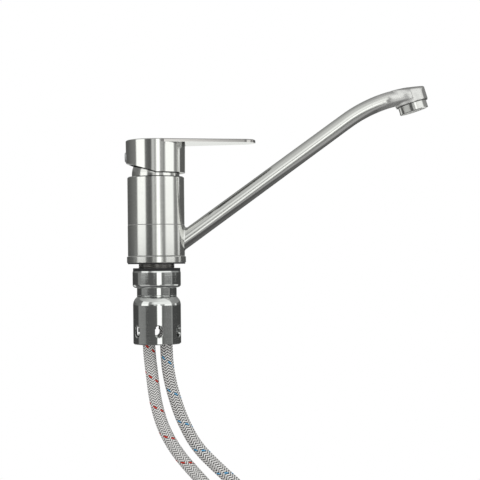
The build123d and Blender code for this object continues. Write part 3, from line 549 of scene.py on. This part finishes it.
# below zero inside the metal
def outletLevel(along, out, up, build):
    lean = math.radians(build["lean"])
    x = build["seam"][0] + along * math.cos(lean) - up * math.sin(lean)
    z = build["seam"][1] + along * math.sin(lean) + up * math.cos(lean)
    centreX, centreZ = build["bendCentre"]
    over = np.hypot(x - centreX, z - centreZ) - build["bendRadius"]
    share = np.clip((x - build["flareFrom"]) / (build["flareTo"] - build["flareFrom"]), 0, 1)
    grown = share * share * (3 - 2 * share)
    radius = build["spoutRadius"]
    top = build["topHeight"] + (radius - build["topHeight"]) * np.clip(1 - share * build["topReached"], 0, 1)
    roof = (np.hypot(np.maximum(over, 0) / top, out / build["roofWidth"]) - 1) * top
    edge = build["roofEdge"] + build["sideEdge"] * (out / build["drumRadius"]) ** 2
    wall = build["drumRadius"] - build["jointDepth"] * (up < build["jointTall"])
    drum = -smoothLess(wall - np.hypot(along, out), -roof, edge)
    width = radius + (build["drumRadius"] - radius) * grown
    power = 2 + (build["underPower"] - 2) * grown
    lower = ((np.maximum(-over, 0) / radius) ** power + (np.abs(out) / width) ** power) ** (1 / power)
    section = np.where(over > 0, np.hypot(over / top, out / width), lower)
    flare = np.maximum(np.maximum((section - 1) * radius, build["start"] - along), along)
    return smoothLess(drum, flare, build["crease"])


# one point in each small cell that the surface crosses, drawn onto the surface; the lowest stay on the joint
def outletPoints(axes, inside, build, net):
    filled = np.zeros([n - 1 for n in inside.shape], int)
    across, deep, tall = filled.shape
    for i in (0, 1):
        for j in (0, 1):
            for k in (0, 1):
                filled += inside[i:i + across, j:j + deep, k:k + tall]
    crossed = (filled > 0) & (filled < 8)
    number = np.full(crossed.shape, -1)
    number[crossed] = np.arange(crossed.sum())
    cells = np.argwhere(crossed)
    points = np.array([axis[0] for axis in axes]) + (cells + 0.5) * net["step"]
    lowest = cells[:, 2] == 0
    points[lowest, 2] = 0.0
    nudge = net["nudge"]
    for _ in range(net["rounds"]):
        here = outletLevel(*points.T, build)
        nudged = [outletLevel(*(points + shift).T, build) for shift in np.eye(3) * nudge]
        slope = np.stack([(level - here) / nudge for level in nudged], axis=1)
        slope[lowest, 2] = 0.0
        steep = np.maximum((slope ** 2).sum(axis=1), net["leastSlope"])
        points -= slope * np.clip(here / steep, -net["step"], net["step"])[:, None]
    return points, lowest, number


# a four-sided face round each of the net's lines that goes from inside the metal to outside
def outletFaces(inside, number):
    faces = []
    for axis in range(3):
        first, second = (axis + 1) % 3, (axis + 2) % 3
        change = inside != np.roll(inside, -1, axis=axis)
        for place in np.argwhere(change).tolist():
            if place[axis] == inside.shape[axis] - 1:
                continue
            around = []
            for a, b in ((-1, -1), (0, -1), (0, 0), (-1, 0)):
                cell = list(place)
                cell[first] += a
                cell[second] += b
                around.append(tuple(cell))
            if min(min(cell) for cell in around) < 0:
                continue
            quad = [int(number[cell]) for cell in around]
            faces.append(quad if inside[tuple(place)] else quad[::-1])
    return faces


def outletMesh(name, build, net):
    step = net["step"]
    edge = build["drumRadius"] + 3 * step
    axes = [np.arange(build["start"] - 2 * step, edge, step), np.arange(-edge, edge, step),
            np.arange(0.0, net["height"], step)]
    inside = outletLevel(*np.meshgrid(*axes, indexing="ij"), build) < 0
    points, lowest, number = outletPoints(axes, inside, build, net)
    faces = outletFaces(inside, number)
    # the flat rim round the aerator and the bore that its thread goes up
    turns = {n: math.atan2(points[n][1], points[n][0]) for n in np.flatnonzero(lowest).tolist()}
    loop = sorted(turns, key=turns.get)
    vertices = [tuple(point) for point in points]
    bore = build["boreRadius"]
    for height in (0.0, build["boreDepth"]):
        vertices += [(bore * math.cos(turns[n]), bore * math.sin(turns[n]), height) for n in loop]
    count = len(loop)
    rim, deep = len(points), len(points) + count
    for i in range(count):
        j = (i + 1) % count
        faces.append([loop[j], loop[i], rim + i, rim + j])
        faces.append([rim + j, rim + i, deep + i, deep + j])
    faces.append([deep + i for i in reversed(range(count))])
    lean = math.radians(build["lean"])
    toWorld = Matrix(((math.cos(lean), 0, -math.sin(lean), build["seam"][0]), (0, 1, 0, 0),
                      (math.sin(lean), 0, math.cos(lean), build["seam"][1]), (0, 0, 0, 1)))
    mesh = bpy.data.meshes.new(name)
    mesh.from_pydata([tuple((toWorld @ Vector(v)) * millimetre) for v in vertices], [], faces)
    mesh.shade_smooth()
    corners = set(loop) | set(range(rim, rim + 2 * count))
    sharp = mesh.attributes.new("sharp_edge", "BOOLEAN", "EDGE")
    for line in mesh.edges:
        a, b = line.vertices
        sharp.data[line.index].value = a in corners and b in corners
    return mesh


outletShell = addObject("outlet_shell", outletMesh("outlet_shell", outlet, outletNet), "spout")
outletShell.data.materials.append(finishes["satinOutlet"])
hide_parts("outlet_boss")
print("outlet shaped:", len(outletShell.data.vertices), "points")

# the hollow shank with its fine thread and the two slots across its lower end
shank = {
    "top": 0.011,
    "bottom": -0.038,
    "crest": 0.01599,
    "root": 0.0152,
    "bore": 0.0144,
    "pitch": 0.0015,
    "rise": 0.0001875,       # between the rows of points
    "around": 128,
    "slotHalf": 0.0025,
    "slotTop": -0.034,
    "slotEdge": 0.0004,      # turn from the slot's edge to the points on each side of it
}


def shankMesh(name, build):
    turns = [math.tau * i / build["around"] for i in range(build["around"])]
    slotTurn = math.asin(build["slotHalf"] / build["crest"])
    for middle in (0, math.pi):
        for edge in (-slotTurn, slotTurn):
            for beside in (-build["slotEdge"], build["slotEdge"]):
                turns.append((middle + edge + beside) % math.tau)
    turns.sort()
    rows = round((build["top"] - build["bottom"]) / build["rise"])
    vertices, faces = [], []
    for turn in turns:
        inSlot = abs(math.sin(turn)) * build["crest"] < build["slotHalf"]
        low = build["slotTop"] if inSlot else build["bottom"]
        for row in range(rows + 1):
            height = low + (build["top"] - low) * row / rows
            phase = (height / build["pitch"] - turn / math.tau) % 1.0
            radius = build["root"] + (build["crest"] - build["root"]) * (1 - abs(2 * phase - 1))
            vertices.append((radius * math.cos(turn), radius * math.sin(turn), height))
        for height in (build["top"], low):
            vertices.append((build["bore"] * math.cos(turn), build["bore"] * math.sin(turn), height))
    column = rows + 3
    for i in range(len(turns)):
        a, b = i * column, (i + 1) % len(turns) * column
        for row in range(column):
            after = (row + 1) % column
            faces.append((a + row, b + row, b + after, a + after))
    mesh = bpy.data.meshes.new(name)
    mesh.from_pydata(vertices, [], faces)
    return mesh


threaded = addObject("shank_thread", shankMesh("shank_thread", shank), "mixer")
threaded.data.materials.append(finishes["plain"])
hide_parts("threaded_shank")
print("thread cut on the shank:", len(threaded.data.vertices), "points")

# the carried-over pieces get their finishes
nodeFinish = {
    "satin": ["main_body", "base_ring", "spout_sleeve", "dome_cap", "aerator_housing"],
    "satinAlong": ["spout_tube"],
    "satinBlade": ["lever_handle"],
    "polished": ["clamp_cup", "barrel_nut", "hot_hose_ferrule", "cold_hose_ferrule",
                 "hot_hose_end_ferrule", "cold_hose_end_ferrule"],
    "plain": ["grub_screw", "stem_pin", "cartridge_stem", "aerator_screen"],
    "rubber": ["base_gasket", "under_deck_gasket", "spout_seals", "cartridge_seals", "tail_seals",
               "hot_hose_washer", "cold_hose_washer", "aerator_washer"],
    "white": ["aerator_insert", "disc_carrier"],
    "slip": ["lower_slip_ring", "upper_slip_ring"],
    "grey": ["cartridge_housing", "cartridge_base", "spindle_carrier"],
    "plug": ["indicator_plug"],
    "ceramic": ["fixed_ceramic_disc", "moving_ceramic_disc"],
    "brass": ["retaining_nut", "hot_hose_nipple", "cold_hose_nipple"],
    "plated": ["hot_hose_tail", "cold_hose_tail", "hot_hose_union_nut", "cold_hose_union_nut"],
}
for finish, names in nodeFinish.items():
    for name in names:
        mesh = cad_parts[name].data
        mesh.materials.clear()
        mesh.materials.append(finishes[finish])
print("pieces dressed:", sum(len(names) for names in nodeFinish.values()))

# studio with a white surround, and what the metal mirrors: bright and dark things round the room. Each band
# is the azimuth in degrees from the camera, plus to the right, and how bright the metal sees it there
studio = {
    "surround": 1.0,
    "plainLevel": 0.78,
    "tint": (0.985, 1.0, 0.975),
    "room": [(-180, 0.7), (-169, 0.7), (-163, 0.11), (-128, 0.12), (-100, 0.19), (-79, 0.23), (-74, 1.3),
             (-41, 1.35), (-36, 0.2), (-24, 0.12), (-14, 0.12), (-9, 0.68), (-3, 0.64), (1, 0.4), (5, 0.5),
             (8, 1.5), (18, 1.5), (22, 0.44), (31, 0.42), (35, 0.26), (40, 0.5), (43, 1.3), (77, 1.28),
             (81, 0.36), (93, 0.24), (98, 0.3), (103, 1.0), (110, 0.95), (114, 0.13), (163, 0.11), (169, 0.7),
             (180, 0.7)],
}
# what takes over from the room above and below it: the heights where that starts and is done, and its bands
layers = [
    ((0.16, 0.2), [(-180, 0.25), (-130, 0.2), (-100, 0.19), (-79, 0.23), (-74, 1.1), (-41, 1.15), (-36, 0.3),
                   (-26, 0.35), (-20, 0.72), (-9, 1.1), (76, 1.1), (84, 0.34), (140, 0.3), (152, 0.25),
                   (180, 0.25)]),
    ((0.55, 0.62), [(-180, 0.3), (-152, 0.3), (-140, 0.36), (-95, 0.47), (-66, 0.56), (-45, 0.66), (-12, 0.7),
                    (20, 0.9), (78, 1.0), (86, 0.4), (140, 0.34), (152, 0.3), (180, 0.3)]),
    ((0.92, 0.95), 0.45),
    ((0.004, -0.006), [(-180, 0.7), (-169, 0.7), (-166, 0.06), (-100, 0.07), (-92, 0.28), (-56, 0.24),
                       (-48, 0.1), (2, 0.12), (7, 1.5), (24, 1.5), (29, 0.13), (40, 0.2), (76, 0.22),
                       (80, 0.45), (84, 0.08), (166, 0.06), (169, 0.7), (180, 0.7)]),
    ((-0.085, -0.1), [(-180, 0.95), (-173, 0.95), (-168, 0.1), (-150, 0.1), (-145, 0.8), (-125, 0.8),
                      (-120, 0.12), (-90, 0.1), (-84, 0.55), (-34, 0.62), (-28, 0.14), (3, 0.14), (8, 1.25),
                      (16, 1.25), (21, 0.27), (40, 0.27), (46, 0.9), (70, 0.9), (76, 0.4), (92, 0.4),
                      (97, 1.0), (124, 0.95), (130, 0.1), (168, 0.08), (173, 0.95), (180, 0.95)]),
]
world = bpy.data.worlds.new("studio")
bpy.context.scene.world = world
world.use_nodes = True
room = world.node_tree
room.nodes.clear()
direction = addNode(room, "ShaderNodeTexCoord").outputs["Generated"]
headings = addNode(room, "ShaderNodeSeparateXYZ", {"Vector": direction}).outputs
azimuth = reckon(room, "ARCTAN2", headings["X"], reckon(room, "MULTIPLY", headings["Y"], -1.0))
around = fadeIn(room, azimuth, -math.pi, math.pi)


def bandRamp(bands):
    ramp = addNode(room, "ShaderNodeValToRGB", {"Fac": around})
    stops = ramp.color_ramp.elements
    for angle, level in bands:
        if angle in (-180, 180):
            stop = stops[0] if angle < 0 else stops[len(stops) - 1]
        else:
            stop = stops.new((angle + 180) / 360)
        stop.color = (*(level * part for part in studio["tint"]), 1)
    return ramp.outputs["Color"]


mirrored = bandRamp(studio["room"])
for heights, bands in layers:
    layerTone = bandRamp(bands) if isinstance(bands, list) else bands
    mirrored = mixTones(room, fadeIn(room, headings["Z"], *heights), mirrored, layerTone)
rays = addNode(room, "ShaderNodeLightPath").outputs
seen = mixTones(room, rays["Is Glossy Ray"], studio["plainLevel"], mirrored)
for ray in ("Is Transmission Ray", "Is Camera Ray"):
    seen = mixTones(room, rays[ray], seen, studio["surround"])
background = addNode(room, "ShaderNodeBackground", {"Color": seen, "Strength": 1.0})
addNode(room, "ShaderNodeOutputWorld", {"Surface": background.outputs["Background"]})

# the pale floor under the whole tap, and how bright the metal sees it: at the tap, further out and behind it
stageFloor = {
    "tone": (0.8, 0.8, 0.79),
    "drop": 0.0005,
    "middle": 0.09,
    "radius": 0.8,
    "corners": 64,
    "grain": (9, 9, 9),
    "grainDark": 0.98,
    "rough": 0.7,
    "near": 0.09,
    "ring": 0.42,
    "ringFrom": (0.42, 0.5),
    "far": 0.3,
    "farFrom": (0.7, 0.76),
    "behind": 0.14,
    "behindFrom": (-0.05, 0.05),
    "whiteFrom": (0.3, 0.72),   # toward its rim it fades into the white surround, for the camera only
}


def floorFinish(look, middle):
    material, tree, shader = newMaterial("pale floor")
    setSockets(shader, roughness=look["rough"])
    grain = stretchedNoise(tree, look["grain"], detail=2.0)
    plain = twoTones(tree, grain, tuple(part * look["grainDark"] for part in look["tone"]), look["tone"])
    place = addNode(tree, "ShaderNodeTexCoord").outputs["Object"]
    distance = addNode(tree, "ShaderNodeVectorMath", {0: place, 1: middle}, operation="DISTANCE")
    fromTap = distance.outputs["Value"]
    mirroredTone = mixTones(tree, fadeIn(tree, fromTap, *look["farFrom"]), look["ring"], look["far"])
    mirroredTone = mixTones(tree, fadeIn(tree, fromTap, *look["ringFrom"]), look["near"], mirroredTone)
    behind = fadeIn(tree, ownAxes(tree, "Object")["Y"], *look["behindFrom"])
    mirroredTone = mixTones(tree, behind, mirroredTone, look["behind"])
    floorRays = addNode(tree, "ShaderNodeLightPath").outputs
    tone = mixTones(tree, floorRays["Is Glossy Ray"], plain, mirroredTone)
    tree.links.new(tone, shader.inputs["Base Color"])
    rimShare = reckon(tree, "MULTIPLY", fadeIn(tree, fromTap, *look["whiteFrom"]), floorRays["Is Camera Ray"])
    rimWhite = addNode(tree, "ShaderNodeEmission", {"Color": (1, 1, 1, 1), "Strength": 1.0})
    blend = addNode(tree, "ShaderNodeMixShader",
                    {0: rimShare, 1: shader.outputs["BSDF"], 2: rimWhite.outputs["Emission"]})
    tree.links.new(blend.outputs["Shader"], tree.nodes["Material Output"].inputs["Surface"])
    return material


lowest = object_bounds()[0].z
floorMesh = bpy.data.meshes.new("floor")
floorTurns = [math.tau * i / stageFloor["corners"] for i in range(stageFloor["corners"])]
floorMesh.from_pydata([(stageFloor["middle"] + stageFloor["radius"] * math.cos(turn),
                        stageFloor["radius"] * math.sin(turn),
                        lowest - stageFloor["drop"]) for turn in floorTurns],
                      [], [tuple(range(stageFloor["corners"]))])
floorMesh.materials.append(floorFinish(stageFloor, (stageFloor["middle"], 0, lowest)))
floor = bpy.data.objects.new("floor", floorMesh)
bpy.context.collection.objects.link(floor)

overheadBox = {
    "size": (1.2, 0.9),
    "power": 5.0,
    "place": (-0.2, -0.5, 1.2),
    "aim": (0.08, 0, 0),
}
softBox = bpy.data.lights.new("overheadBox", "AREA")
softBox.shape = "RECTANGLE"
softBox.size, softBox.size_y = overheadBox["size"]
softBox.energy = overheadBox["power"]
lamp = bpy.data.objects.new("overheadBox", softBox)
lamp.location = overheadBox["place"]
lamp.rotation_euler = (Vector(overheadBox["aim"]) - lamp.location).to_track_quat("-Z", "Y").to_euler()
lamp.visible_glossy = False   # the metal mirrors the studio's own bands
bpy.context.collection.objects.link(lamp)
print("studio ready")

bpy.context.scene.view_settings.view_transform = "Standard"
